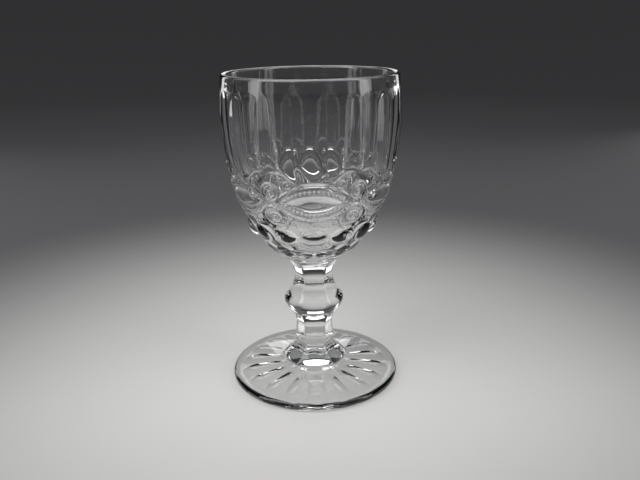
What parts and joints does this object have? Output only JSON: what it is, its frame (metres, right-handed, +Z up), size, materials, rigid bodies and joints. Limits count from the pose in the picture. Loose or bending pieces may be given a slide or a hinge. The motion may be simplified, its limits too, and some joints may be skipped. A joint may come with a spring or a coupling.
{
  "type": "wine goblet",
  "caption": "Clear pressed-glass wine goblet: fluted bowl with a band of pressed ornament, six-sided knopped stem and a round foot, to stand on a table and hold a drink.",
  "frame": {"origin": "centre of the foot's resting ring, on the surface that the goblet stands on", "axes": "+Z up along the goblet's axis; -Y is the front, where an eye of the ornament, a flute and a flat of the stem face the viewer"},
  "size_m": [0.0836, 0.0832, 0.15],
  "materials": {
    "clear_glass": "clear, colourless pressed glass, fire-polished to a smooth gloss"
  },
  "bodies": {
    "root": {"bowl": "clear_glass", "stem": "clear_glass", "foot": "clear_glass"}
  },
  "joints": []
}
